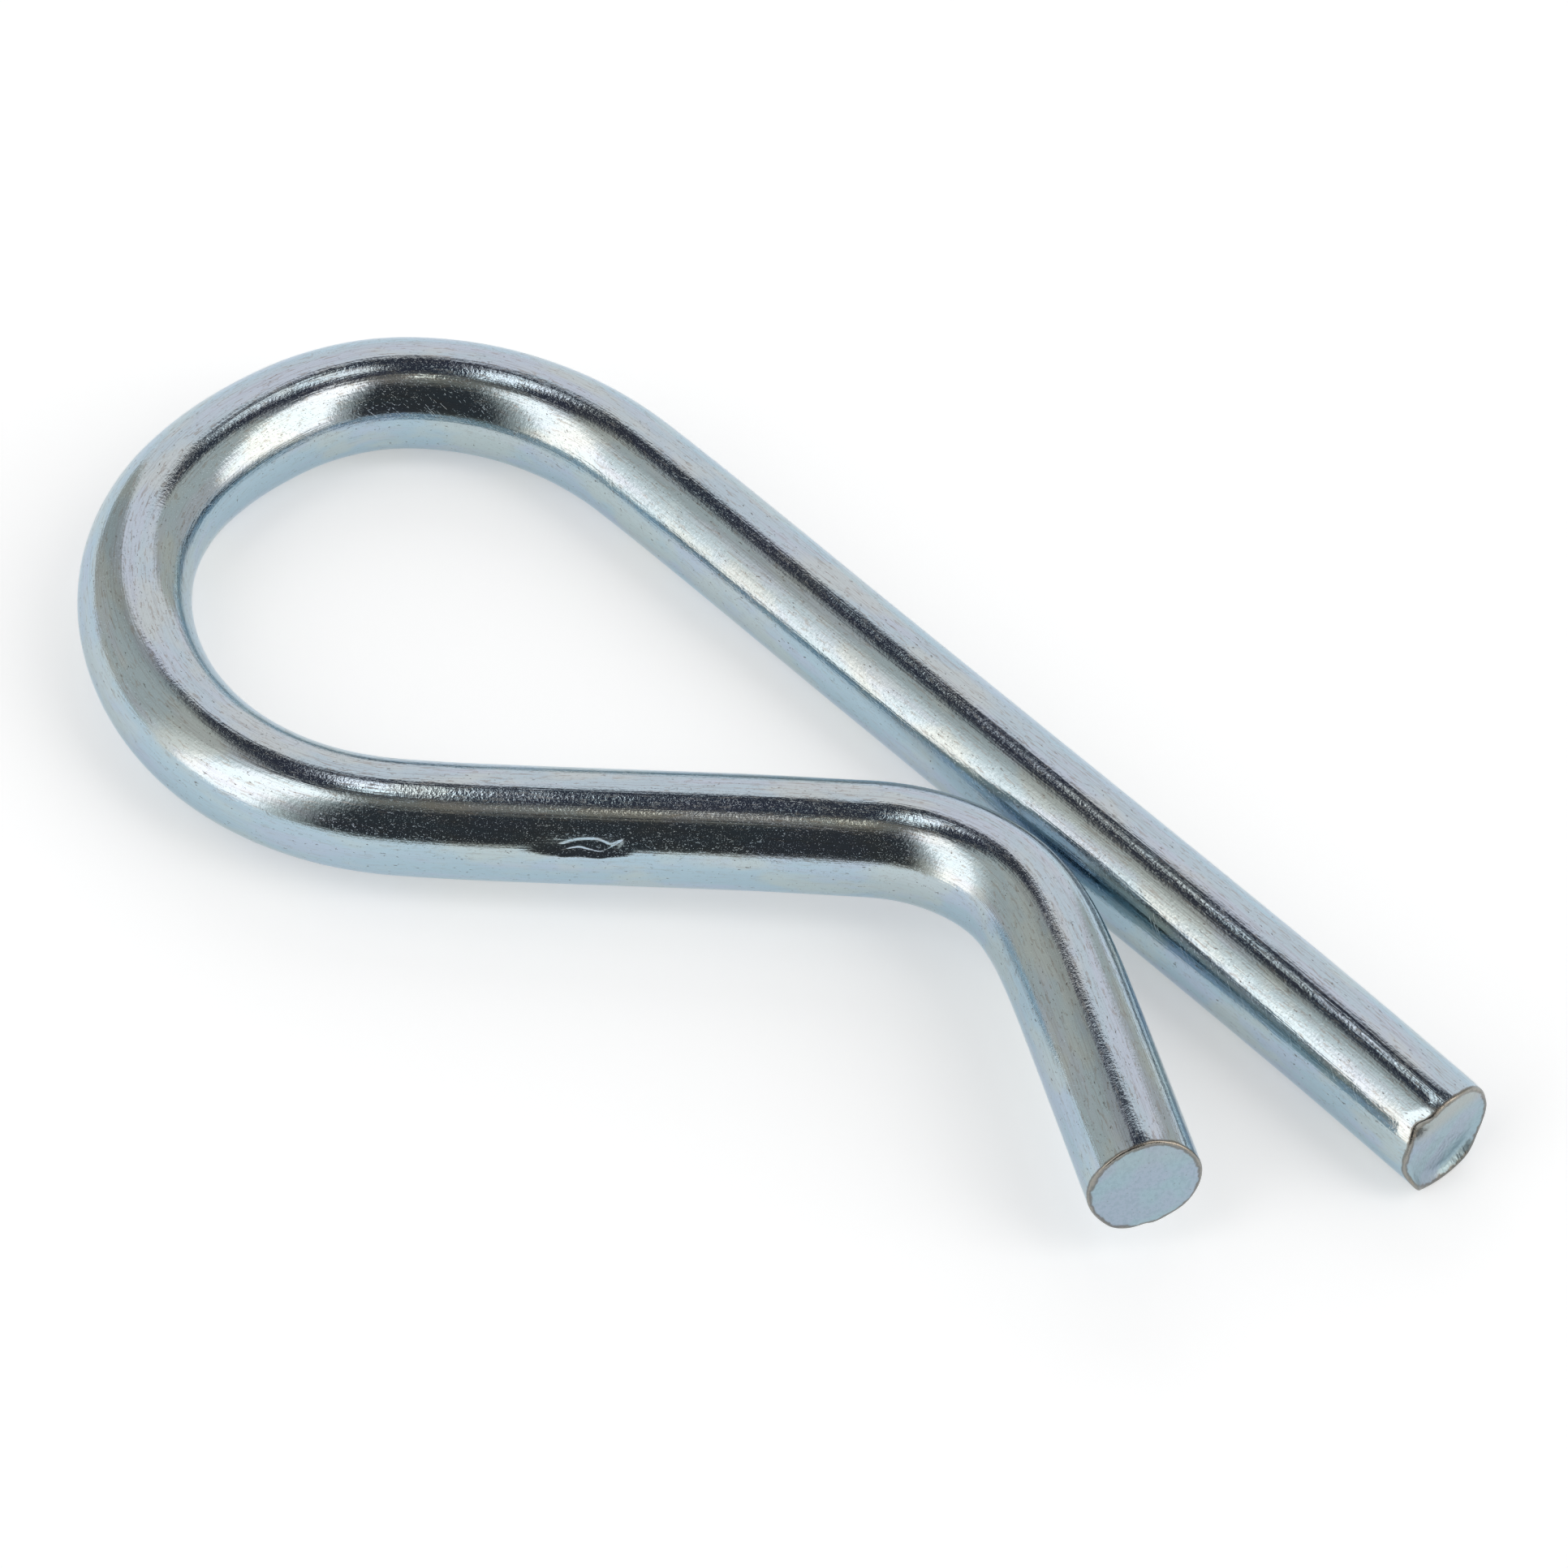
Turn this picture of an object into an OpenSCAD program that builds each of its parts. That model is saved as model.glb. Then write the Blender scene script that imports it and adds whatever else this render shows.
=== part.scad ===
// A hitch clip: one length of round spring wire. A straight shank turns through an open,
// teardrop loop, comes back as a slanting arm, passes close beside the shank at a pinch
// bend and leaves again as a short tail. It lies flat on a surface, as it would if let go.
// Millimetres. +X runs along the shank towards its cut end, +Z is up, Z = 0 is the surface.

/* [Wire] */
// Diameter of the round wire, the same all the way along
wire_d = 5; // [4:0.1:6]

/* [Shank] */
// Length of the straight shank, from its cut end to the start of the loop
shank_l = 49.6; // [44:0.2:70]

/* [Loop] */
// Clear width across the inside of the loop
loop_w = 20.1; // [16:0.1:26]
// How far the loop turns before the arm leaves it, in degrees
loop_turn = 224.2; // [216:0.2:232]
// How far the second half of the loop, and all after it, is bent up out of the flat, in degrees
rise = 2.1; // [0:0.1:4]

/* [Pinch] */
// Gap between the shank and the nearest point of the pinch bend
pinch_gap = 0.9; // [0.2:0.1:2]
// Inside radius of the pinch bend
pinch_ir = 5.9; // [4:0.1:8]
// How far the pinch bend turns the wire, in degrees
pinch_turn = 72.6; // [60:0.2:84]

/* [Tail] */
// Length of the straight tail, from the pinch bend to its cut end
tail_l = 12.9; // [6:0.1:20]
// Small bevel around the tail's cut end
tail_edge = 0.15; // [0.05:0.05:0.5]

/* [Sheared end] */
// Lean of the shank's cut face, its top edge set back, in degrees
shear_lean = 5; // [0:0.5:10]
// How far the rim is rolled over where the blade went in
roll_over = 0.45; // [0.1:0.05:0.8]
// How far the burr stands out where the blade broke through
burr = 0.35; // [0.1:0.05:0.7]

/* [Nick] */
// Length of the shallow nick in the arm, along the wire
nick_l = 4.4; // [2:0.2:6]
// Depth of the nick
nick_depth = 0.12; // [0.05:0.01:0.3]
// Distance from the loop to the middle of the nick
nick_at = 7.4; // [4:0.2:12]

/* [Hidden] */
wire_r = wire_d / 2;
loop_r = (loop_w + wire_d) / 2;
pinch_r = pinch_ir + wire_r;
half = loop_turn / 2;

// The two halves of the loop meet in a crown, a straight stretch too short to see
crown_l = wire_d / 25;
// The straights run this far into the bends, which are this much thinner
seam = wire_d / 125;
bend_r = wire_r - seam / 10;

// The start of the crown, across from the shank's axis
mid_y = -loop_r * (1 - cos(half));

// The arm is as long as brings the pinch bend to its gap beside the shank. The nearest
// point of the bend moves along a straight line as the arm grows: across by near_y0 +
// near_ky * arm_l and up by near_z0 + near_kz * arm_l. It has to end wire_d + pinch_gap
// from the shank's axis.
near_at = atan2(sin(half), -cos(half) * cos(rise));
near_u = crown_l + loop_r * sin(half) + pinch_r * (sin(half) - sin(near_at));
near_v = loop_r * (1 - cos(half)) - pinch_r * (cos(half) - cos(near_at));
near_y0 = mid_y - sin(half) * near_u - cos(half) * cos(rise) * near_v;
near_z0 = sin(rise) * near_v;
near_ky = -sin(half) * cos(half) * (1 + cos(rise));
near_kz = sin(rise) * sin(half);
arm_a = near_ky * near_ky + near_kz * near_kz;
arm_b = near_y0 * near_ky + near_z0 * near_kz;
arm_c = near_y0 * near_y0 + near_z0 * near_z0 - pow(wire_d + pinch_gap, 2);
arm_l = (-arm_b - sqrt(arm_b * arm_b - arm_a * arm_c)) / arm_a;

// The blade's lip of metal stands on the side of the cut turned down and in under the tail
burr_side = 33;
// The rolled-over stretch of rim is turned up and in over the tail
roll_side = -40;

// The clip's own box, so that the origin can stand at the middle of its underside
far_y = mid_y - sin(half) * (crown_l + loop_r * sin(near_at))
        - cos(half) * cos(rise) * loop_r * (1 - cos(near_at));
low_x = -shank_l - loop_r - wire_r;
high_x = burr + wire_r * sin(burr_side) * tan(shear_lean);

$fn = 96;

// A straight stretch of wire, from the origin along +X and a seam longer at both ends
module straight(l) {
    translate([-seam, 0, 0]) rotate([0, 90, 0]) cylinder(r = wire_r, h = l + 2 * seam);
}

// A bend to the left, from the origin where it heads along +X
module bend_left(r, a) {
    translate([0, r, 0]) rotate([0, 0, -90])
        rotate_extrude(angle = a) translate([r, 0]) circle(r = bend_r);
}

// A bend to the right, the same way
module bend_right(r, a) {
    translate([0, -r, 0]) rotate([0, 0, 90 - a])
        rotate_extrude(angle = a) translate([r, 0]) circle(r = bend_r);
}

// Carries what follows to the far end of a bend to the left or the right
module after_left(r, a) {
    translate([r * sin(a), r * (1 - cos(a)), 0]) rotate([0, 0, a]) children();
}

module after_right(r, a) {
    translate([r * sin(a), -r * (1 - cos(a)), 0]) rotate([0, 0, -a]) children();
}

// What the shear took off the shank's end: all beyond a leaning face, less the burr it left
module shear_waste() {
    rotate([0, -shear_lean, 0]) rotate([180 + burr_side, 0, 0])
        translate([0, 0, -wire_d])
            linear_extrude(height = 2 * wire_d)
                polygon([[0, -wire_d], [0, 0.6 * wire_r], [burr, wire_r], [burr, wire_d],
                         [wire_d, wire_d], [wire_d, -wire_d]]);
}

// The bevel pressed on the rim where the blade went in
module roll_waste() {
    rotate([roll_side, 0, 0]) translate([-roll_over, -wire_r, 0])
        rotate([0, 0, -27]) translate([0, -wire_d, -wire_d]) cube([wire_d, 2 * wire_d, 2 * wire_d]);
}

module shank() {
    difference() {
        translate([-shank_l, 0, 0]) straight(shank_l + burr + 0.2 * wire_d);
        shear_waste();
        roll_waste();
    }
}

// The tail, its cut end square with a small bevel
module tail() {
    rotate([0, 90, 0]) {
        translate([0, 0, -seam]) cylinder(r = wire_r, h = seam + tail_l - tail_edge);
        translate([0, 0, tail_l - tail_edge])
            cylinder(r1 = wire_r, r2 = wire_r - tail_edge, h = tail_edge);
    }
}

// A shallow nick on the arm's outer side, as from a hard edge dragged along the wire
module nick() {
    nick_r = (nick_l * nick_l / 4 + nick_depth * nick_depth) / (2 * nick_depth);
    translate([nick_at, 0, 0]) rotate([-27, 0, 0])
        translate([0, -wire_r + nick_depth - nick_r, 0])
            rotate([0, 9, 0]) cylinder(r = nick_r, h = wire_d, center = true);
}

module clip() {
    color("silver")
    translate([-(low_x + high_x) / 2, -far_y / 2, wire_r]) {
        shank();
        translate([-shank_l, 0, 0]) rotate([0, 0, 180]) {
            bend_left(loop_r, half);
            after_left(loop_r, half) rotate([rise, 0, 0]) {
                straight(crown_l);
                translate([crown_l, 0, 0]) {
                    bend_left(loop_r, half);
                    after_left(loop_r, half) {
                        difference() {
                            straight(arm_l);
                            nick();
                        }
                        translate([arm_l, 0, 0]) {
                            bend_right(pinch_r, pinch_turn);
                            after_right(pinch_r, pinch_turn) tail();
                        }
                    }
                }
            }
        }
    }
}

clip();
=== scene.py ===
# %% [markdown]
# # A zinc-plated hitch clip
# The clip is one length of round steel wire. It was sheared off a coil, bent cold round
# pegs, and then barrel-plated with bright zinc, which a clear blue passivation keeps from
# staining. Everything that makes it look real is in two things: the true path of the wire,
# and the room that its mirror-like skin shows. So the lesson sets the frame and the camera
# first, then the table and the room, then the wire, its two cut ends and its nick, and last
# the plating.

# %% Load the frame
from collections import namedtuple
from math import atan2, cos, degrees, hypot, pi, radians, sin

import bpy
from mathutils import Matrix, Vector


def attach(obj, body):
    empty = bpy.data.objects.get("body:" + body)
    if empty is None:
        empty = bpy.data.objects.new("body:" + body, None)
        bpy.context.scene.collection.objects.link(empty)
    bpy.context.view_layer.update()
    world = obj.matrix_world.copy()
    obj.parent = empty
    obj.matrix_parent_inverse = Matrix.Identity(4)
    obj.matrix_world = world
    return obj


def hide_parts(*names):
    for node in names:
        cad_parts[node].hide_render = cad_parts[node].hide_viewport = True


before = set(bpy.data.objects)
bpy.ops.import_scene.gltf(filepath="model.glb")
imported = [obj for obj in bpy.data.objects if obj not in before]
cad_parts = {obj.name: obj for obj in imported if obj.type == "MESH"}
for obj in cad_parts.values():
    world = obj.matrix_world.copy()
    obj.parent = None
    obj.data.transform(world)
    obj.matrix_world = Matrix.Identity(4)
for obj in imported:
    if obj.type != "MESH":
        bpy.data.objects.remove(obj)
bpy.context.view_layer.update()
MM = 0.001

# %% [markdown]
# The camera looks down at fifty degrees with a long lens, as for a catalogue picture of a
# small part. A long lens from a third of a metre keeps the near end from swelling.

# %% Camera
lens = bpy.data.cameras.new("lens")
camera = bpy.data.objects.new("camera", lens)
bpy.context.scene.collection.objects.link(camera)
bpy.context.scene.camera = camera
LENS_PLACE = Vector((144.554, -160.359, 259.994)) * MM
LENS_RIGHT = Vector((0.695199, 0.71549, 0.069083))
LENS_DOWN = Vector((0.578293, -0.49962, -0.644947))
LENS_FORWARD = Vector((-0.426938, 0.488317, -0.761098))
turned = Matrix((LENS_RIGHT, -LENS_DOWN, -LENS_FORWARD)).transposed().to_4x4()
camera.matrix_world = Matrix.Translation(LENS_PLACE) @ turned
lens.sensor_width = 36
lens.lens = 180.472
lens.clip_start = 0.02
bpy.context.scene.view_settings.view_transform = "Standard"
print("camera", round(camera.location.length / MM), "mm from the origin")

# %% [markdown]
# Nodes are joined many times below, so a few small helpers say it briefly: one adds a node,
# one feeds a socket with a number or with another socket, and the others make a sum, a
# product, a soft step, a mix of two colours and the highest of some values.

# %% Node helpers
def add(tree, kind, **settings):
    node = tree.nodes.new("ShaderNode" + kind)
    for name, value in settings.items():
        setattr(node, name, value)
    return node


def feed(tree, socket, value):
    if isinstance(value, bpy.types.NodeSocket):
        tree.links.new(value, socket)
    elif value is not None:
        socket.default_value = value


def maths(tree, operation, *values):
    node = add(tree, "Math", operation=operation)
    for socket, value in zip(node.inputs, values):
        feed(tree, socket, value)
    return node.outputs[0]


def plus(tree, one, other):
    return maths(tree, "ADD", one, other)


def times(tree, one, other):
    return maths(tree, "MULTIPLY", one, other)


def step(tree, value, start, end, low=0.0, high=1.0):
    node = add(tree, "MapRange", interpolation_type="SMOOTHSTEP")
    for socket, number in zip(node.inputs, (value, start, end, low, high)):
        feed(tree, socket, number)
    return node.outputs[0]


def mix(tree, factor, one, other):
    node = add(tree, "Mix", data_type="RGBA")
    feed(tree, node.inputs[0], factor)
    feed(tree, node.inputs[6], one)
    feed(tree, node.inputs[7], other)
    return node.outputs[2]


def any_of(tree, *values):
    total = values[0]
    for value in values[1:]:
        total = maths(tree, "MAXIMUM", total, value)
    return total


print("node helpers ready")

# %% [markdown]
# The table is a plain white sheet. Its colour alone makes it pale; rays that look at it,
# from the lens or off the metal, get a little more so that it reads as white paper, while
# the clip's soft shadow on it stays.

# %% The white table
PAPER_WHITE = (0.82, 0.82, 0.82, 1)
GLOW_TO_LENS = 0.34
GLOW_TO_METAL = 0.38
bpy.ops.object.select_all(action="DESELECT")
bpy.ops.mesh.primitive_plane_add(size=6)
table = bpy.context.object
table.name = "table"
paper = bpy.data.materials.new("white_paper")
paper.use_nodes = True
tree = paper.node_tree
tree.nodes.clear()
sheet = add(tree, "BsdfDiffuse")
sheet.inputs["Color"].default_value = PAPER_WHITE
glow = add(tree, "Emission")
glow.inputs["Color"].default_value = (1, 1, 1, 1)
looks = add(tree, "LightPath")
by_lens = times(tree, looks.outputs["Is Camera Ray"], GLOW_TO_LENS)
by_metal = times(tree, any_of(tree, looks.outputs["Is Glossy Ray"],
                              looks.outputs["Is Transmission Ray"]), GLOW_TO_METAL)
feed(tree, glow.inputs["Strength"], any_of(tree, by_lens, by_metal))
both = add(tree, "AddShader")
tree.links.new(sheet.outputs[0], both.inputs[0])
tree.links.new(glow.outputs[0], both.inputs[1])
tree.links.new(both.outputs[0], add(tree, "OutputMaterial").inputs["Surface"])
table.data.materials.append(paper)
print("table laid")

# %% [markdown]
# Bright zinc is nearly a mirror, so its picture is the picture of the room: two upright
# soft boxes in front, left and right of the lens, the dark room behind the lens between
# them, grey side walls, a pale back wall, and a dim ceiling with two bright slits and a
# lamp. The room is painted on the world by heading and height, in degrees, with soft
# steps. Heading 0 is the side of the lens, and headings count up towards the right of the
# picture. The ceiling is measured as a flat one, by how far ahead and aside a ray meets it.

# %% The room
room_world = bpy.data.worlds.new("studio_room")
bpy.context.scene.world = room_world
room_world.use_nodes = True
tree = room_world.node_tree
tree.nodes.clear()
LENS_SIDE = 48.84       # turns the lens's side of the room to heading 0, in degrees
where = add(tree, "TexCoord").outputs["Generated"]
turn = add(tree, "VectorRotate", rotation_type="Z_AXIS")
feed(tree, turn.inputs["Vector"], where)
turn.inputs["Angle"].default_value = radians(LENS_SIDE)
parts = add(tree, "SeparateXYZ")
feed(tree, parts.inputs[0], turn.outputs[0])
ahead, aside, high = parts.outputs
heading = times(tree, maths(tree, "ARCTAN2", aside, ahead), degrees(1))
height = times(tree, maths(tree, "ARCSINE", high), degrees(1))
above = any_of(tree, high, 0.05)
measures = {"heading": heading, "height": height,
            "roof_ahead": maths(tree, "DIVIDE", ahead, above),
            "roof_aside": maths(tree, "DIVIDE", aside, above)}

# Each zone: its light (red, green, blue), then its sides as (measure, start, end, softness
# of the start, softness of the end). A measure with "not " before it means outside them.
# A height that ends at 150, past straight up, has no upper end. A later zone lies over an
# earlier one.
ROOM = {
    "grey_wall": ((0.70, 0.65, 0.58),),
    "dim_wall": ((0.54, 0.51, 0.46), ("heading", -148, -126, 3, 10)),
    "back_wall": ((1.14, 1.03, 1.00), ("not heading", -148, 152.5, 2, 2)),
    "dark_room": ((0.05, 0.05, 0.052), ("heading", -29, 44, 8.5, 6.5), ("height", 3.5, 150, 5, 1)),
    "ceiling": ((0.31, 0.26, 0.21), ("height", 67, 150, 6.5, 1)),
    "dark_top": ((0.05, 0.05, 0.065), ("roof_ahead", -0.77, 0.06, 0.045, 0.12),
                 ("roof_aside", -0.43, 0.49, 0.10, 0.10)),
    "left_box_glow": ((1.22, 1.12, 1.02), ("heading", -82, -37.5, 8.5, 5), ("height", -3, 71, 2.5, 4)),
    "left_box": ((2.3, 2.0, 1.8), ("heading", -69, -41.5, 5, 4), ("height", -1.5, 70.5, 2.5, 4)),
    "right_box": ((2.4, 2.1, 1.85), ("heading", 54, 95.5, 4, 6), ("height", 9.5, 71, 3.4, 4)),
    "left_slit": ((1.9, 1.75, 1.65), ("roof_ahead", -0.62, -0.19, 0.04, 0.05),
                  ("roof_aside", 0.09, 0.20, 0.03, 0.04)),
    "right_slit": ((2.6, 2.45, 2.3), ("roof_ahead", -0.48, -0.07, 0.08, 0.05),
                   ("roof_aside", -0.175, -0.11, 0.02, 0.02)),
    "lamp": ((3.6, 3.1, 2.5), ("roof_ahead", 0.13, 0.20, 0.03, 0.03),
             ("roof_aside", 0.0, 0.06, 0.02, 0.02)),
}
room = (0, 0, 0, 1)
for shine, *sides in ROOM.values():
    mask = 1.0
    for measure, start, end, soft_start, soft_end in sides:
        value = measures[measure.split()[-1]]
        inside = times(tree, step(tree, value, start - soft_start, start + soft_start),
                       step(tree, value, end - soft_end, end + soft_end, 1.0, 0.0))
        if measure.startswith("not "):
            inside = maths(tree, "SUBTRACT", 1.0, inside)
        mask = times(tree, mask, inside)
    room = mix(tree, mask, room, shine + (1,))
print("room painted with", len(tree.nodes), "nodes")

# %% [markdown]
# The metal sees this room in its own colours. The light that falls on the table is the
# same room in grey, so that it stays untinted. The lens itself, looking past the table,
# sees plain white.

# %% What each ray sees of the room
ROOM_LIGHT = 1.1
looks = add(tree, "LightPath")
as_seen = add(tree, "Background")
feed(tree, as_seen.inputs["Color"], room)
plain = add(tree, "Background")
plain.inputs["Color"].default_value = (1, 1, 1, 1)
plain.inputs["Strength"].default_value = 1.0
light = add(tree, "Background")
grey = add(tree, "RGBToBW")
feed(tree, grey.inputs[0], room)
feed(tree, light.inputs["Color"], grey.outputs[0])
light.inputs["Strength"].default_value = ROOM_LIGHT
mirrored = add(tree, "MixShader")
feed(tree, mirrored.inputs[0], any_of(tree, looks.outputs["Is Glossy Ray"],
                                      looks.outputs["Is Transmission Ray"]))
tree.links.new(light.outputs[0], mirrored.inputs[1])
tree.links.new(as_seen.outputs[0], mirrored.inputs[2])
behind = add(tree, "MixShader")
feed(tree, behind.inputs[0], looks.outputs["Is Camera Ray"])
tree.links.new(mirrored.outputs[0], behind.inputs[1])
tree.links.new(plain.outputs[0], behind.inputs[2])
tree.links.new(behind.outputs[0], add(tree, "OutputWorld").inputs["Surface"])
print("plain white backdrop behind the table")

# %% [markdown]
# The wire's path is the one the CAD model states: a straight shank, a loop of two equal
# halves, a straight arm, a pinch bend the other way and a short tail. At the top of the
# loop the rest of the wire is tipped up by two degrees, so that the arm and the tail rise
# off the table. Each stretch is kept with the place and heading where it starts.

# %% The path of the wire
WIRE_R = 2.5 * MM
LOOP_R = 12.55 * MM
PINCH_R = 8.4 * MM
# amount is a length for a straight and an angle for a bend, whose radius isn't 0. begins
# is how much wire lies before the stretch.
Stretch = namedtuple("Stretch", "name start heads left amount radius begins")
stretches = []
here = Vector((32.090, 12.644, 2.5)) * MM
ahead_now = Vector((-1, 0, 0))
left_now = Vector((0, -1, 0))
travelled = 0.0


def lay(name, amount, radius=0.0):
    """Lays the next stretch: a length of straight wire, or an angle of bend about a peg
    on its left (positive radius) or right (negative radius)."""
    global here, ahead_now, left_now, travelled
    stretches.append(Stretch(name, here.copy(), ahead_now.copy(), left_now.copy(), amount,
                             radius, travelled))
    if radius:
        peg = here + left_now * radius
        up = ahead_now.cross(left_now)
        swing = Matrix.Rotation(amount if radius > 0 else -amount, 3, up)
        here = peg + swing @ (here - peg)
        ahead_now, left_now = swing @ ahead_now, swing @ left_now
        travelled += amount * abs(radius)
    else:
        here = here + ahead_now * amount
        travelled += amount


lay("shank", 49.6 * MM)
lay("loop_one", radians(112.1), LOOP_R)
lay("crown", 0.2 * MM)
left_now = Matrix.Rotation(radians(2.1), 3, ahead_now) @ left_now
lay("loop_two", radians(112.1), LOOP_R)
lay("arm", 19.6036 * MM)
lay("pinch", radians(72.6), -PINCH_R)
lay("tail", 12.9 * MM)
WIRE_LENGTH = travelled
print("stretches:", ", ".join(stretch.name for stretch in stretches))
print("wire", round(WIRE_LENGTH / MM, 2), "mm, tail ends at", [round(c / MM, 3) for c in here])

# %% [markdown]
# The wire is made as the shop makes it. A circle is the wire's section; it is pulled out
# into the straight stretches by extruding, and spun about each peg for the bends. Rings
# stand close together only at the two cuts and the nick, which get fine shapes later.

# %% Draw and bend the wire
SIDES = 144
BEND_RINGS = 56
PINCH_RINGS = 36
# How far each ring of a cut face lies inside the one before, from the rim inwards, mm
FACE_RINGS = (0.025, 0.025, 0.03, 0.04, 0.05, 0.06, 0.08, 0.1, 0.15, 0.2, 0.3, 0.4, 0.5)
shank, loop_one, crown, loop_two, arm, pinch, tail = stretches
bpy.ops.object.select_all(action="DESELECT")
bpy.ops.mesh.primitive_circle_add(vertices=SIDES, radius=WIRE_R, rotation=(0, pi / 2, 0),
                                  location=shank.start)
wire = bpy.context.object
wire.name = "plated_wire"
bpy.ops.object.transform_apply(location=True, rotation=True, scale=True)
bpy.ops.object.mode_set(mode="EDIT")
bpy.ops.mesh.select_all(action="SELECT")


def pull(stretch, plan):
    """Extrudes the selected ring along a straight stretch: plan is (share, rings) pairs."""
    for share, rings in plan:
        stride = stretch.heads * (stretch.amount * share / rings)
        for _ in range(rings):
            bpy.ops.mesh.extrude_region_move(TRANSFORM_OT_translate={"value": stride})


def spin(stretch, rings):
    """Spins the selected ring about the peg of a bend."""
    bpy.ops.mesh.spin(steps=rings,
                      angle=stretch.amount if stretch.radius < 0 else -stretch.amount,
                      center=stretch.start + stretch.left * stretch.radius,
                      axis=stretch.heads.cross(stretch.left))


pull(shank, [(0.006, 12), (0.014, 10), (0.03, 10), (0.95, 30)])
spin(loop_one, BEND_RINGS)
pull(crown, [(1, 1)])
spin(loop_two, BEND_RINGS)
pull(arm, [(0.23, 6), (0.30, 54), (0.47, 10)])
spin(pinch, PINCH_RINGS)
pull(tail, [(0.80, 10), (0.115, 8), (0.062, 12), (0.023, 12)])


def select_ring(stretch, along):
    """Selects the vertices of the ring that stands so far along a straight stretch."""
    bpy.ops.mesh.select_all(action="DESELECT")
    bpy.ops.object.mode_set(mode="OBJECT")
    centre = stretch.start + stretch.heads * along
    for v in wire.data.vertices:
        gap = v.co - centre
        v.select = abs(gap.dot(stretch.heads)) < 0.01 * MM and gap.length < 1.1 * WIRE_R
    for edge in wire.data.edges:
        edge.select = all(wire.data.vertices[k].select for k in edge.vertices)
    bpy.ops.object.mode_set(mode="EDIT")


def close_end(stretch, along):
    """Closes a cut end with a face, in narrow rings at its rim and wide ones inside."""
    select_ring(stretch, along)
    bpy.ops.mesh.edge_face_add()
    for width in FACE_RINGS:
        bpy.ops.mesh.inset(thickness=width * MM)
    bpy.ops.mesh.poke()


close_end(shank, 0)
close_end(tail, tail.amount)
bpy.ops.mesh.select_all(action="SELECT")
bpy.ops.mesh.normals_make_consistent(inside=False)
bpy.ops.object.mode_set(mode="OBJECT")
print(len(wire.data.polygons), "faces in the plain wire")

# %% [markdown]
# Marks on the wire follow its length, round every bend. So each point also remembers
# where it was on the straight wire before it was bent: how far along, how far to the left
# and how far up. The plating reads this as an attribute called drawn, and the cuts and the
# nick are shaped in the same measure.

# %% Remember the straight wire
def on_stretch(stretch, point):
    """(along, left, up) of a point on one stretch, along within the stretch itself."""
    gap = point - stretch.start
    up = stretch.heads.cross(stretch.left)
    if not stretch.radius:
        return gap.dot(stretch.heads), gap.dot(stretch.left), gap.dot(up)
    gap = gap - stretch.left * stretch.radius
    side = 1 if stretch.radius > 0 else -1
    bend = abs(stretch.radius)
    out, forth = -gap.dot(stretch.left) * side, gap.dot(stretch.heads)
    return atan2(forth, out) * bend, side * (bend - hypot(out, forth)), gap.dot(up)


def unbent(point):
    """Where a point of the bent wire was on the straight one."""
    best = None
    for stretch in stretches:
        along, left, up = on_stretch(stretch, point)
        reach = stretch.amount * (abs(stretch.radius) or 1)
        beyond = max(-along, along - reach, 0)
        miss = beyond + max(0, hypot(left, up) - WIRE_R)
        if best is None or miss < best[0]:
            best = (miss, (stretch.begins + along, left, up))
    return best[1]


def bent(along, aside, lift):
    """The other way round: where a point of the straight wire goes on the bent one."""
    for stretch in stretches:
        if along <= stretch.begins + stretch.amount * (abs(stretch.radius) or 1):
            break
    gone = along - stretch.begins
    up = stretch.heads.cross(stretch.left)
    if not stretch.radius:
        return stretch.start + stretch.heads * gone + stretch.left * aside + up * lift
    swing = Matrix.Rotation(gone / stretch.radius, 3, up)
    peg = stretch.start + stretch.left * stretch.radius
    return peg + swing @ (stretch.left * (aside - stretch.radius)) + up * lift


drawn = wire.data.attributes.new("drawn", "FLOAT_VECTOR", "POINT")
for slot, v in zip(drawn.data, wire.data.vertices):
    slot.vector = unbent(v.co)
stations = [slot.vector[0] / MM for slot in drawn.data]
print("straight wire from", round(min(stations), 3), "to", round(max(stations), 3), "mm")

# %% [markdown]
# A machine's bends are never perfect. The wire touches its pegs at a few places, so the
# line of the loop wanders by a tenth of a millimetre, and the shear pulled the shank's end
# a little towards the arm. It hardly shows in the outline, but it makes the reflections
# run unevenly, as on the real clip. Tables say such things, read through one smooth curve.

# %% How far the line wanders
def smooth_row(rows, spot):
    """Reads a table of (place, value) at any place, along a smooth curve."""
    k = max(1, min(len(rows) - 1, sum(row[0] < spot for row in rows)))
    (a, low), (b, high) = rows[k - 1], rows[k]
    before, after = rows[max(0, k - 2)], rows[min(len(rows) - 1, k + 1)]
    slope_a = (high - before[1]) / (b - before[0]) * (b - a)
    slope_b = (after[1] - low) / (after[0] - a) * (b - a)
    t = min(1.0, max(0.0, (spot - a) / (b - a)))
    return ((1 + 2 * t) * (1 - t) ** 2 * low + t * (1 - t) ** 2 * slope_a
            + t * t * (3 - 2 * t) * high - t * t * (1 - t) * slope_b)


def soft(value, start, end):
    """A soft step from 0 at the start to 1 at the end."""
    share = min(1, max(0, (value - start) / (end - start)))
    return share * share * (3 - 2 * share)


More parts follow.
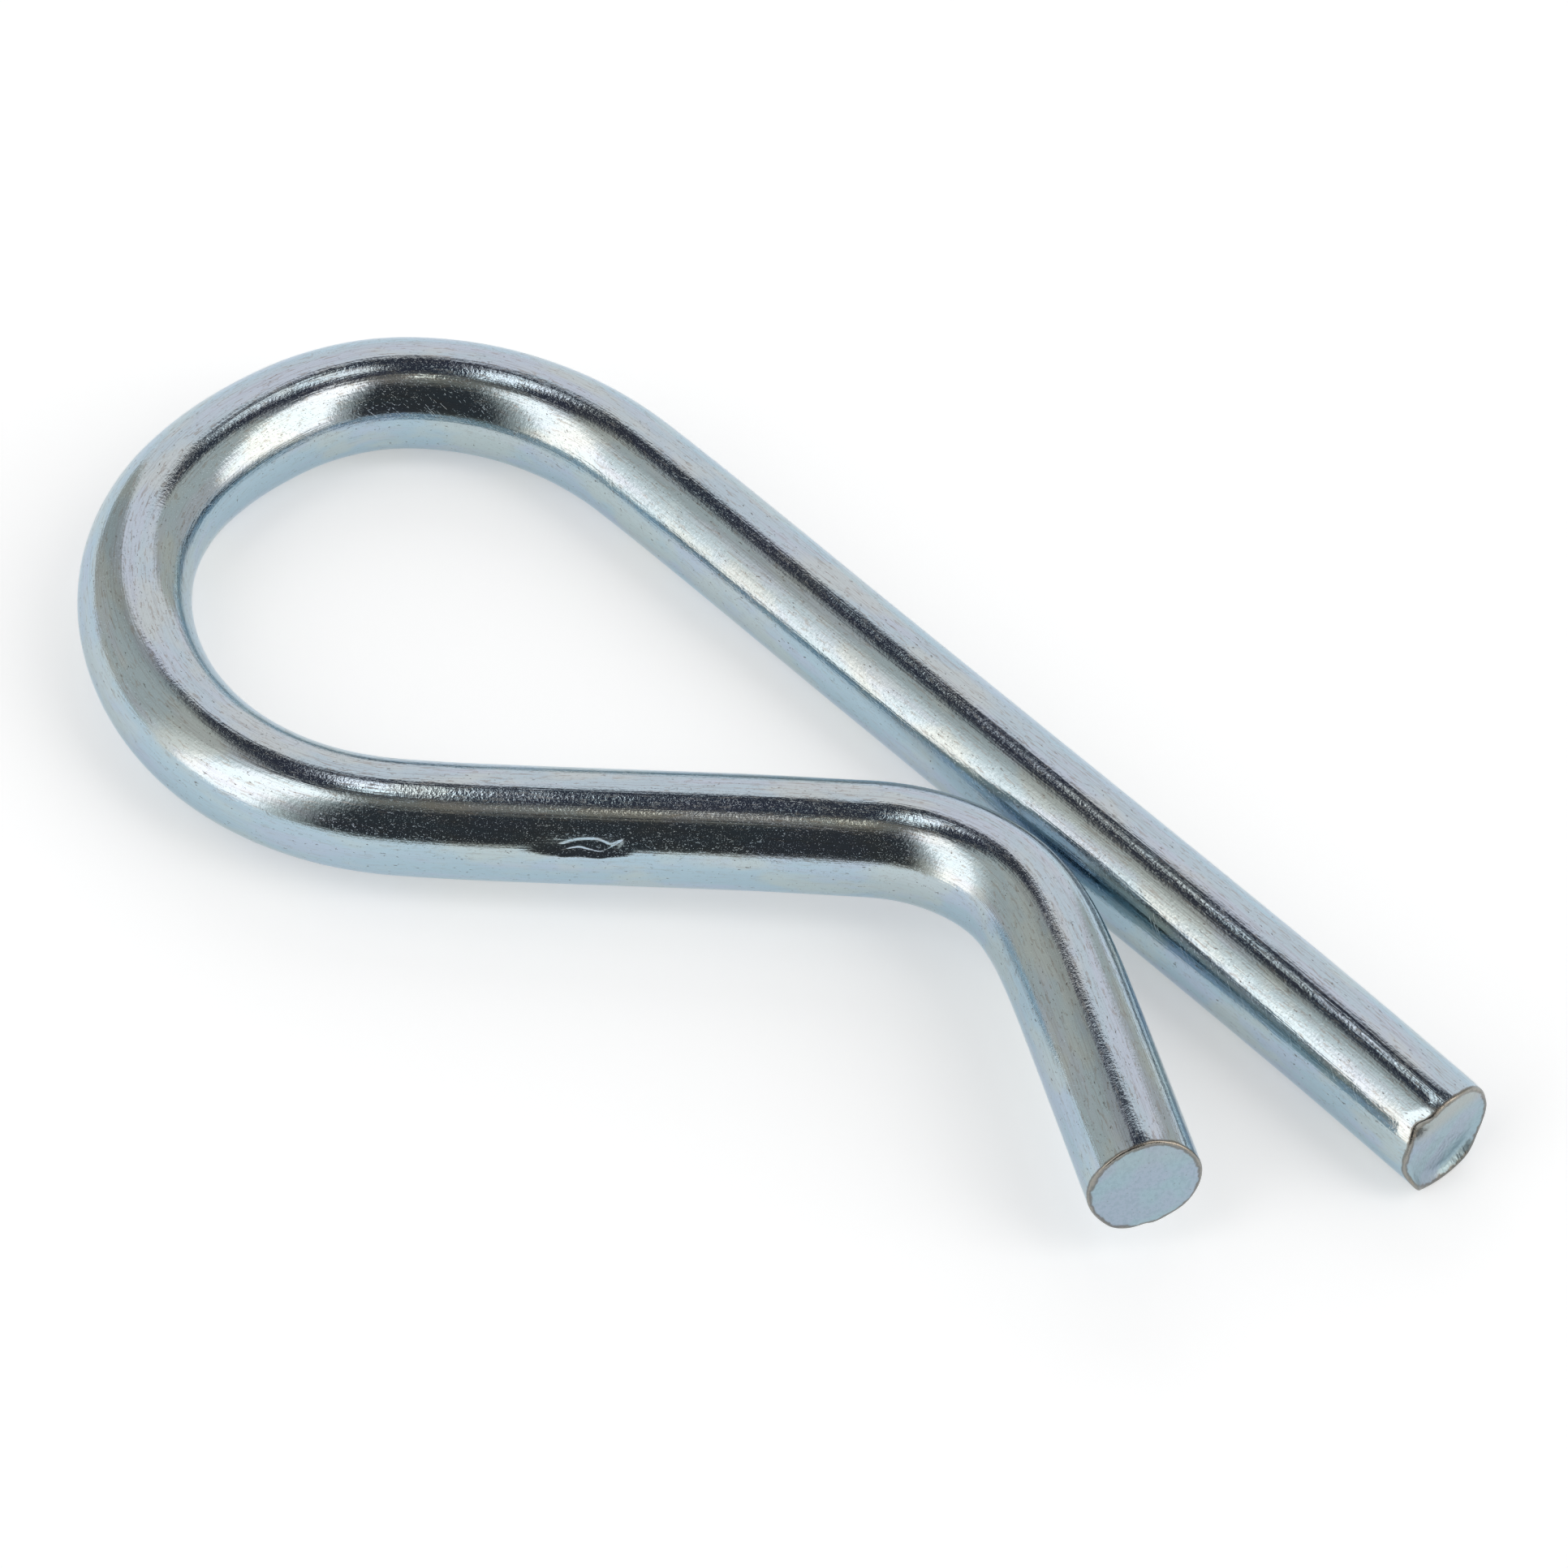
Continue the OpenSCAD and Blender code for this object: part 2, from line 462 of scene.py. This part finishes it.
# (mm along the wire, mm that the line lies to the left of its true path)
WANDER = ((-1, 0.26), (0, 0.225), (2, 0.168), (4, 0.107), (6, 0.058), (8, 0.026), (12, -0.010),
          (18, -0.024), (26, -0.010), (36, 0.0), (44, -0.020), (48, 0.010), (51, 0.075),
          (54, 0.065), (56, 0.020), (59, -0.069), (62, -0.150), (65, -0.047), (68, 0.110),
          (71, 0.090), (74, -0.048), (77, -0.085), (80, -0.040), (84, 0.018), (90, 0.0),
          (95, 0.030), (98, 0.045), (101, -0.025), (105, -0.010), (110, 0.034), (114, 0.058),
          (119, -0.010), (122, 0.020), (125, 0.052), (128, -0.060), (131, 0.034), (137, 0.018),
          (143, -0.035))
print("the line wanders by up to", max(abs(row[1]) for row in WANDER), "mm")

# %% [markdown]
# A shear leaves its mark. Where the blade went in, the rim is drawn over; where the metal
# broke at last, a lip and a burr stand out; and the face between is nearly flat. Each rim
# is a table of how far out of square it stands, in millimetres, as its angle goes round:
# 0 is the outer side, 90 the top. Tumbling in the plating barrel rounded both rims.

# %% The two cut ends
SHANK_RIM = ((-180, -0.07), (-172, -0.03), (-163, 0.10), (-152, 0.42), (-142, 0.55), (-130, 0.44),
             (-114, 0.35), (-95, 0.33), (-75, 0.36), (-58, 0.38), (-47, 0.32), (-35, 0.21),
             (-18, 0.13), (4, 0.07), (25, 0.0), (60, -0.02), (86, 0.0), (100, -0.06), (118, -0.09),
             (124, -0.19), (131, -0.34), (137, -0.40), (144, -0.32), (152, -0.21), (165, -0.11),
             (180, -0.07))
TAIL_RIM = ((-180, -0.05), (-157, 0.01), (-138, 0.07), (-120, 0.07), (-101, 0.12), (-93, 0.08),
            (-74, 0.20), (-55, 0.23), (-41, 0.10), (-25, 0.0), (-9, -0.04), (4, -0.11),
            (26, -0.15), (46, -0.16), (64, -0.22), (80, -0.25), (96, -0.30), (107, -0.26),
            (123, -0.20), (135, -0.09), (150, 0.0), (165, -0.01), (180, -0.05))
ROUND = 0.10            # the rim's rounding, mm
CUT_REACH = 2.4         # how far along the wire the cut draws the skin with it, mm
OVER_REACH = 0.9        # how far along the wire the rim is drawn over, mm
TAIL_OVER = 0.02        # how far the tail's rim is drawn over all round, mm
TAIL_BACK = 0.02        # how far the middle of the tail's face lies back, mm
TAIL_LEAN = 0.2         # how far the tail's face leans back at its top, mm


def cut_shape(back, inside, out, flat, over):
    """For a point so far behind the cut, or so far inside the rim on the face: how far it
    moves outwards along the wire, and how far inwards across it, all in mm. The rim stands
    out by out, the middle of the face by flat, and the rim is drawn over by over."""
    if inside > 0.001:
        bow = radians(45 + 45 * min(1, inside / ROUND))
        share = soft(inside, 0.02, 0.55)
        return (out * (1 - share) + flat * share - ROUND * (1 - sin(bow)),
                ROUND * (1 - cos(bow)) - min(inside, ROUND) + over * (1 - inside / (WIRE_R / MM)))
    bow = radians(45 * max(0, 1 - back / ROUND))
    return (out * (1 - soft(back, 0, CUT_REACH)) - ROUND * (1 - sin(bow)) + min(back, ROUND),
            ROUND * (1 - cos(bow)) + over * max(0, 1 - back / OVER_REACH) ** 2)


def shank_over(angle):
    """The shank's rim is drawn over on its outer side, and from the top round to the lip."""
    outer_side = soft(angle, 0, 15) * (1 - soft(angle, 40, 60))
    at_lip = soft(angle, 84, 112) * (1 - soft(angle, 160, 176))
    return 0.05 * outer_side + 0.10 * at_lip


def cut_ends(along, aside, lift):
    """Shapes both ends, in metres on the straight wire."""
    reach = hypot(aside, lift)
    angle = degrees(atan2(lift, -aside))
    inside = (WIRE_R - reach) / MM
    from_shank_end = along / MM
    from_tail_end = WIRE_LENGTH / MM - from_shank_end
    if from_shank_end < CUT_REACH:
        out, tuck = cut_shape(max(0, from_shank_end), inside, smooth_row(SHANK_RIM, angle),
                              0.0, shank_over(angle))
        along -= out * MM
    elif from_tail_end < CUT_REACH:
        flat = -TAIL_BACK - TAIL_LEAN * lift / WIRE_R
        out, tuck = cut_shape(max(0, from_tail_end), inside, smooth_row(TAIL_RIM, angle),
                              flat, TAIL_OVER)
        along += out * MM
    else:
        return along, aside, lift
    if reach > 0.0001 * MM:
        aside, lift = (c * (1 - tuck * MM / reach) for c in (aside, lift))
    return along, aside, lift


print("cuts ready")

# %% [markdown]
# The nick on the arm's outer side was pressed by a hard edge while the wire was bent. It
# is a shallow scoop, four and a half millimetres long, with two wavy folds of metal in it.
# The patch of skin there is divided finer, and made round again, before it is pressed.

# %% The nick
NICK_AT = arm.begins + 7.45 * MM
NICK_UP = 28.5          # degrees up from the outer side
# Each fold's line: (mm along from the nick's middle, mm up round the wire from it)
UPPER_FOLD = ((-1.0, 0.06), (-0.78, 0.10), (-0.07, 0.32), (0.75, 0.35), (1.31, 0.14), (1.9, 0.46))
LOWER_FOLD = ((-1.0, -0.24), (-0.74, -0.20), (-0.05, -0.05), (0.36, -0.14), (0.98, -0.18),
              (1.9, 0.42))
SCOOP_DEEP, UPPER_DEEP, LOWER_DEEP = 0.105, 0.018, 0.025      # mm
SCOOP_ABOVE, SCOOP_BELOW = 1.0, 0.60                          # half widths, mm


def nick_place(along, aside, lift):
    """(mm along from the nick's middle, mm up round the wire from it)."""
    angle = degrees(atan2(lift, -aside))
    return (along - NICK_AT) / MM, (angle - NICK_UP) * radians(WIRE_R) / MM


def fold(where, line, depth):
    """One fold: a short steep face down from its line, and a slow way back below it."""
    below = line - where
    if below < 0.05:
        return depth * soft(below, -0.06, 0.05)
    return depth * (1 - soft(below, 0.05, 0.40))


def nick_depth(u, w):
    """How deep the nick is at a place round its middle, in mm."""
    length = soft(u, -2.7, -0.9) * (1 - soft(u, 1.4, 2.5))
    middle = 0.10 * soft(u, 0.5, 2.2)
    reach = SCOOP_ABOVE if w > middle else SCOOP_BELOW
    scoop = SCOOP_DEEP * length * 0.5 * (1 + cos(pi * min(1, abs(w - middle) / reach)))
    core = soft(u, -1.0, -0.7) * (1 - soft(u, 1.6, 1.95))
    return scoop + core * (fold(w, smooth_row(UPPER_FOLD, u), UPPER_DEEP)
                           + fold(w, smooth_row(LOWER_FOLD, u), LOWER_DEEP))


for face in wire.data.polygons:
    u, w = nick_place(*drawn.data[face.vertices[0]].vector)
    face.select = abs(u) < 2.8 and abs(w) < 1.0
for edge in wire.data.edges:
    edge.select = False
for v in wire.data.vertices:
    v.select = False
for face in wire.data.polygons:
    for k in face.vertices if face.select else ():
        wire.data.vertices[k].select = True
bpy.ops.object.mode_set(mode="EDIT")
bpy.ops.mesh.select_mode(type="VERT")
bpy.ops.mesh.select_mode(type="FACE")
bpy.ops.mesh.subdivide(number_cuts=2)
bpy.ops.mesh.select_mode(type="VERT")
bpy.ops.object.mode_set(mode="OBJECT")
print(len(wire.data.polygons), "faces with the nick's patch")

# %% [markdown]
# Now every point is taken to the straight wire, gets its mark there, and is bent again
# along the wandering line.

# %% Shape the wire
memory = wire.data.attributes["drawn"].data
moved = 0.0
for v, slot in zip(wire.data.vertices, memory):
    along, aside, lift = slot.vector
    u, w = nick_place(along, aside, lift)
    if abs(u) < 2.9 and abs(w) < 1.1:
        radius = hypot(aside, lift)
        slot.vector = (along, aside * (WIRE_R / radius), lift * (WIRE_R / radius))
        pressed = WIRE_R * (1 - nick_depth(u, w) * MM / WIRE_R) / radius
        aside, lift = aside * pressed, lift * pressed
    else:
        along, aside, lift = cut_ends(along, aside, lift)
    place = bent(along, aside + smooth_row(WANDER, along / MM) * MM, lift)
    moved = max(moved, (place - v.co).length)
    v.co = place
wire.data.update()
drawn_at = [tuple(slot.vector) for slot in memory]
print("furthest a point moved:", round(moved / MM, 3), "mm")

# %% [markdown]
# The wire is round, so its faces are shaded as one smooth skin, with sharp lines only where
# two faces meet at more than fifty degrees.

# %% Smooth the skin
bpy.ops.object.select_all(action="DESELECT")
wire.select_set(True)
bpy.context.view_layer.objects.active = wire
bpy.ops.object.shade_smooth_by_angle(angle=radians(50))
print("skin smoothed")

# %% [markdown]
# Plating is a skin of fine crystals over the die's long scratches, so its marks come in
# sizes: a grain of a sixth of a millimetre, lines a tenth wide and some millimetres long,
# and spots of many sizes. A brown stain follows the rim of each cut, with a painted tan
# highlight along the rim's very edge. Each of these is a small node group that measures
# places on the straight wire, in millimetres, so that the skin and the cut faces can share them.

# %% Shared marks
def new_group(name, inputs, outputs):
    """A node group with named inputs and outputs, and the ends of it inside."""
    group = bpy.data.node_groups.new(name, "ShaderNodeTree")
    for title, kind, value in inputs:
        socket = group.interface.new_socket(title, in_out="INPUT", socket_type="NodeSocket" + kind)
        if value is not None:
            socket.default_value = value
    for title in outputs:
        group.interface.new_socket(title, in_out="OUTPUT", socket_type="NodeSocketFloat")
    given = group.nodes.new("NodeGroupInput").outputs
    made = group.nodes.new("NodeGroupOutput").inputs
    return group, given, made


def noise(tree, place, scale, detail=2.0, rough=0.5):
    node = add(tree, "TexNoise", normalize=True)
    feed(tree, node.inputs["Vector"], place)
    feed(tree, node.inputs["Scale"], scale)
    node.inputs["Detail"].default_value = detail
    node.inputs["Roughness"].default_value = rough
    return node.outputs[0]


def stretched(tree, place, along, across):
    """The place, with the wire's length divided by one size and its width by another."""
    sizes = add(tree, "CombineXYZ")
    feed(tree, sizes.inputs[0], maths(tree, "DIVIDE", 1.0, along))
    for k in (1, 2):
        feed(tree, sizes.inputs[k], maths(tree, "DIVIDE", 1.0, across))
    node = add(tree, "VectorMath", operation="MULTIPLY")
    feed(tree, node.inputs[0], place)
    feed(tree, node.inputs[1], sizes.outputs[0])
    return node.outputs[0]


def placed(tree, group, place, **values):
    """A group used in a material: its outputs, with its inputs set by name."""
    node = tree.nodes.new("ShaderNodeGroup")
    node.node_tree = group
    feed(tree, node.inputs["Place"], place)
    for title, value in values.items():
        node.inputs[title.replace("_", " ")].default_value = value
    return node.outputs


marks, given, made = new_group(
    "grain_and_lines",
    [("Place", "Vector", None), ("Grain", "Float", 0.16), ("Line Length", "Float", 2.5),
     ("Line Width", "Float", 0.09)], ["Grain", "Lines"])
grains_per_mm = maths(marks, "DIVIDE", 1.0, given["Grain"])
feed(marks, made["Grain"], noise(marks, given["Place"], grains_per_mm, 2.5, 0.62))
in_lines = stretched(marks, given["Place"], given["Line Length"], given["Line Width"])
feed(marks, made["Lines"], noise(marks, in_lines, 1.0, 3.0, 0.6))

spots, given, made = new_group(
    "spots", [("Place", "Vector", None), ("Length", "Float", 0.5), ("Width", "Float", 0.2),
              ("Cover", "Float", 0.3)], ["Mask"])
in_spots = stretched(spots, given["Place"], given["Length"], given["Width"])
# A spot begins where the noise is over this level, which more cover lowers
edge = maths(spots, "SUBTRACT", 0.78, times(spots, given["Cover"], 0.36))
feed(spots, made["Mask"], step(spots, noise(spots, in_spots, 1.0, 3.0, 0.55), edge,
                               plus(spots, edge, 0.05)))

stain_and_highlight, given, made = new_group(
    "rim_stain_and_highlight", [("Place", "Vector", None), ("Width", "Float", 0.30)], ["Stain", "Painted Highlight"])
lies = add(stain_and_highlight, "SeparateXYZ")
feed(stain_and_highlight, lies.inputs[0], given["Place"])
so_far, to_left, upwards = lies.outputs
from_cut = maths(stain_and_highlight, "MINIMUM", so_far, maths(stain_and_highlight, "SUBTRACT", WIRE_LENGTH / MM, so_far))
off_centre = maths(stain_and_highlight, "SQRT", plus(stain_and_highlight, maths(stain_and_highlight, "POWER", to_left, 2.0),
                                        maths(stain_and_highlight, "POWER", upwards, 2.0)))
from_rim = any_of(stain_and_highlight, times(stain_and_highlight, from_cut, 1.5),
                  maths(stain_and_highlight, "SUBTRACT", WIRE_R / MM, off_centre))
ragged = maths(stain_and_highlight, "SUBTRACT", noise(stain_and_highlight, given["Place"], 3.2), 0.5)
from_rim = plus(stain_and_highlight, from_rim, times(stain_and_highlight, ragged, 0.28))
stained = step(stain_and_highlight, from_rim, times(stain_and_highlight, given["Width"], 0.6), given["Width"], 1.0, 0.0)
feed(stain_and_highlight, made["Stain"], times(stain_and_highlight, stained, 0.80))
# The second output is a painted tan highlight along the very edge of each cut's rim
feed(stain_and_highlight, made["Painted Highlight"], times(stain_and_highlight, step(stain_and_highlight, from_rim, 0.03, 0.14, 1.0, 0.0), 0.60))
print("groups:", marks.name, spots.name, stain_and_highlight.name)

# %% [markdown]
# The blue passivation is a film thinner than a wavelength of light. Where it is a little
# thicker or thinner the zinc turns from blue to lavender or straw, in soft streaks along
# the wire. Small brown stains sit in the lines, most of all on the side that lay up. The
# black bands that the skin mirrors show its finest marks: patches of specks, coarser dents
# and hair scratches that run askew.

# %% Bright zinc
BLUE = (0.385, 0.515, 0.590, 1)
LAVENDER = (0.418, 0.506, 0.606, 1)
STRAW = (0.465, 0.540, 0.535, 1)
GREY = (0.285, 0.310, 0.335, 1)
BROWN = (0.272, 0.262, 0.243, 1)
NEAR_BLACK = (0.10, 0.09, 0.08, 1)
RIM_BROWN = (0.150, 0.138, 0.118, 1)
# The tan of a painted highlight along the very edge of the cut rims
RIM_PAINTED_HIGHLIGHT = (0.370, 0.355, 0.318, 1)
GRAZING_TINT = (0.86, 0.90, 0.93, 1)


def start_material(name):
    """A new material, its places on the straight wire in mm, and its shader."""
    material = bpy.data.materials.new(name)
    material.use_nodes = True
    tree = material.node_tree
    drawn_place = add(tree, "Attribute", attribute_name="drawn", attribute_type="GEOMETRY")
    in_mm = add(tree, "VectorMath", operation="SCALE")
    feed(tree, in_mm.inputs[0], drawn_place.outputs["Vector"])
    in_mm.inputs["Scale"].default_value = 1000.0
    return material, tree, in_mm.outputs[0], tree.nodes["Principled BSDF"]


def bump(tree, relief, depth, below=None):
    """Relief of a depth in mm, on top of the bumps below it."""
    node = add(tree, "Bump")
    node.inputs["Distance"].default_value = depth * MM
    feed(tree, node.inputs["Height"], relief)
    feed(tree, node.inputs["Normal"], below)
    return node.outputs[0]


bright_zinc, tree, place, skin = start_material("bright_zinc")
lie = add(tree, "SeparateXYZ")
feed(tree, lie.inputs[0], place)
on_top = step(tree, lie.outputs[2], -0.3, 2.3)
fine = placed(tree, marks, place, Grain=0.15, Line_Length=3.0, Line_Width=0.07)

# The film, its streaks and its stains, a lavender tint painted on the top side as a painted reflection,
# and a painted highlight at the cut rims
film = noise(tree, stretched(tree, place, 6.0, 0.9), 1.0, 2.0, 0.5)
patches = noise(tree, stretched(tree, place, 4.5, 1.9), 1.0, 3.0, 0.55)
colour = mix(tree, step(tree, film, 0.42, 0.64), BLUE, LAVENDER)
colour = mix(tree, times(tree, step(tree, patches, 0.46, 0.62), 0.75), colour, STRAW)
# A painted reflection: the top side is tinted towards lavender, the colour the room above shows in it
colour = mix(tree, times(tree, on_top, 0.22), colour, LAVENDER)
streak = times(tree, step(tree, fine["Lines"], 0.50, 0.66), plus(tree, times(tree, on_top, 0.30), 0.08))
colour = mix(tree, streak, colour, GREY)
brown = placed(tree, spots, place, Length=0.60, Width=0.11, Cover=0.55)["Mask"]
brown = times(tree, brown, plus(tree, times(tree, on_top, 0.34), 0.14))
colour = mix(tree, brown, colour, BROWN)
dark = placed(tree, spots, place, Length=0.22, Width=0.10, Cover=0.37)["Mask"]
colour = mix(tree, times(tree, dark, 0.70), colour, NEAR_BLACK)
rim = placed(tree, stain_and_highlight, place)
colour = mix(tree, rim["Stain"], colour, RIM_BROWN)
# A painted tan highlight along the very edge of the cut rims
colour = mix(tree, rim["Painted Highlight"], colour, RIM_PAINTED_HIGHLIGHT)
feed(tree, skin.inputs["Base Color"], colour)
skin.inputs["Metallic"].default_value = 1.0
skin.inputs["Specular Tint"].default_value = GRAZING_TINT
rough = plus(tree, times(tree, step(tree, fine["Lines"], 0.45, 0.70), 0.06), 0.045)
rough = plus(tree, rough, times(tree, any_of(tree, brown, dark, rim["Stain"]), 0.25))
feed(tree, skin.inputs["Roughness"], rough)

# The relief, from the slow waves up to the grain
waves = bump(tree, noise(tree, stretched(tree, place, 1.6, 0.9), 1.0, 2.0, 0.5), 0.008)
die = placed(tree, marks, place, Line_Length=45.0, Line_Width=0.16)["Lines"]
lines = bump(tree, fine["Lines"], 0.0030, bump(tree, die, 0.0060, waves))
askew = add(tree, "VectorRotate", rotation_type="AXIS_ANGLE")
feed(tree, askew.inputs["Vector"], place)
askew.inputs["Axis"].default_value = (0.35, 0.75, 0.55)
askew.inputs["Angle"].default_value = 0.7
coarse = placed(tree, spots, askew.outputs[0], Length=0.42, Width=0.10, Cover=0.18)["Mask"]
scratches = placed(tree, spots, askew.outputs[0], Length=2.2, Width=0.035, Cover=0.34)["Mask"]
dented = bump(tree, scratches, 0.0030, bump(tree, coarse, 0.0040, lines))
specks = placed(tree, spots, place, Length=0.16, Width=0.07, Cover=0.38)["Mask"]
speck_patches = noise(tree, stretched(tree, place, 4.0, 1.6), 1.0, 2.0, 0.5)
specks = times(tree, specks, step(tree, speck_patches, 0.40, 0.58))
speckled = bump(tree, specks, 0.0035, dented)
feed(tree, skin.inputs["Normal"], bump(tree, fine["Grain"], 0.0055, speckled))
wire.data.materials.append(bright_zinc)
print("bright zinc has", len(tree.nodes), "nodes")

# %% [markdown]
# The two cut faces are the same plating over torn steel: duller, with fine marks of the
# shear all one way, and a stain along their rims, with a painted tan highlight at the very
# edge, that the skin shares.

# %% The cut faces
FACE_BLUE = (0.330, 0.455, 0.515, 1)
FACE_LAVENDER = (0.352, 0.432, 0.522, 1)
FACE_SHADE = (0.250, 0.340, 0.400, 1)
FACE_STRAW = (0.400, 0.425, 0.405, 1)
FACE_FLECK = (0.20, 0.20, 0.21, 1)
cut_face, tree, place, skin = start_material("plated_cut_face")
lie = add(tree, "SeparateXYZ")
feed(tree, lie.inputs[0], place)
cloud = noise(tree, place, 0.55, 2.0, 0.5)
colour = mix(tree, step(tree, cloud, 0.42, 0.60), FACE_BLUE, FACE_LAVENDER)
mottle = step(tree, noise(tree, stretched(tree, place, 0.35, 0.22), 1.0, 3.0, 0.6), 0.46, 0.60)
colour = mix(tree, times(tree, mottle, 0.35), colour, FACE_SHADE)
# The straw upper edge shows mostly on the shank's face
mostly_shank = step(tree, lie.outputs[0], 3.0, 4.0, 1.0, 0.25)
upper = times(tree, step(tree, lie.outputs[2], 0.6, 1.7), mostly_shank)
colour = mix(tree, times(tree, upper, 0.75), colour, FACE_STRAW)
fleck = placed(tree, spots, place, Length=0.16, Width=0.12, Cover=0.34)["Mask"]
colour = mix(tree, times(tree, fleck, 0.6), colour, FACE_FLECK)
rim = placed(tree, stain_and_highlight, place, Width=0.25)
colour = mix(tree, rim["Stain"], colour, RIM_BROWN)
# A painted tan highlight along the very edge of the cut rims
colour = mix(tree, rim["Painted Highlight"], colour, RIM_PAINTED_HIGHLIGHT)
feed(tree, skin.inputs["Base Color"], colour)
skin.inputs["Metallic"].default_value = 1.0
feed(tree, skin.inputs["Roughness"], plus(tree, times(tree, rim["Stain"], -0.12), 0.34))
torn = add(tree, "VectorMath", operation="MULTIPLY")
feed(tree, torn.inputs[0], place)
torn.inputs[1].default_value = (1.0, 7.0, 1.5)
dents = bump(tree, noise(tree, place, 1.3, 2.0, 0.5), 0.050)
shear = bump(tree, noise(tree, torn.outputs[0], 1.0, 3.0, 0.6), 0.022, dents)
feed(tree, skin.inputs["Normal"], bump(tree, noise(tree, place, 5.0, 2.5, 0.6), 0.028, shear))
wire.data.materials.append(cut_face)


def on_a_cut(spot):
    """Whether a place on the straight wire is inside the rim of a cut."""
    along, aside, lift = spot
    return (hypot(aside, lift) < WIRE_R - 0.001 * MM
            and min(along, WIRE_LENGTH - along) < 0.01 * MM)


inner = 0
for face in wire.data.polygons:
    if all(on_a_cut(drawn_at[k]) for k in face.vertices):
        face.material_index = 1
        inner += 1
print(inner, "faces of the cuts;", len(tree.nodes), "nodes")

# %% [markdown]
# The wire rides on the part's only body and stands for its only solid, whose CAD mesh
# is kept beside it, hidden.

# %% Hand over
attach(wire, "root")
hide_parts("clip")
